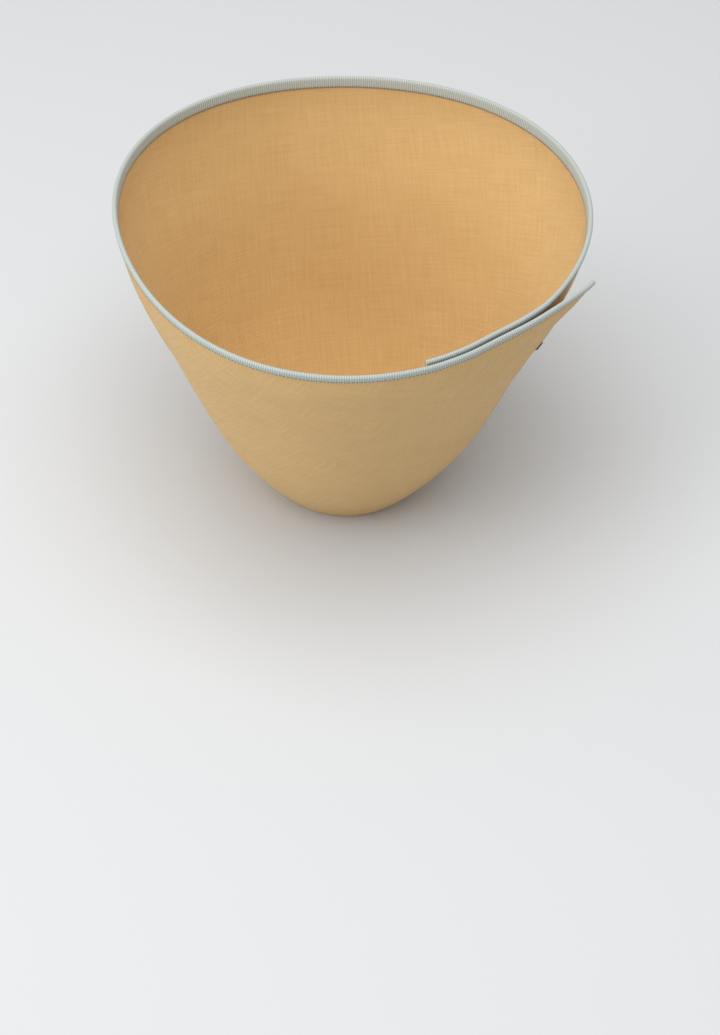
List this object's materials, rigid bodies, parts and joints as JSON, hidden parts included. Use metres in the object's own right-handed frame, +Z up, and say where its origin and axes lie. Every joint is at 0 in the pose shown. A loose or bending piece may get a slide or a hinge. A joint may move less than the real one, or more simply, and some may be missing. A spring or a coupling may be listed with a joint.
{
  "type": "elizabethan collar",
  "caption": "Pet cone: a camel-coloured stiff sheet rolled into a flaring cone, overlapping at the front, its wide rim bound with grey tape.",
  "frame": {"origin": "on the surface it stands on, under the middle of its box", "axes": "+Z up the cone's axis from the neck edge to the rim, -Y towards the front where the ends overlap, +X to the viewer's right"},
  "size_m": [0.3936, 0.393, 0.2831],
  "materials": {
    "cone_sheet": "matt stiffened woven sheet, camel on both sides",
    "rim_tape": "grey ribbed binding tape, sewn",
    "hook_and_loop": "black hook-and-loop strip"
  },
  "bodies": {
    "root": {"cone_panel": "cone_sheet", "rim_binding": "rim_tape", "closure_strip": "hook_and_loop"}
  },
  "joints": []
}
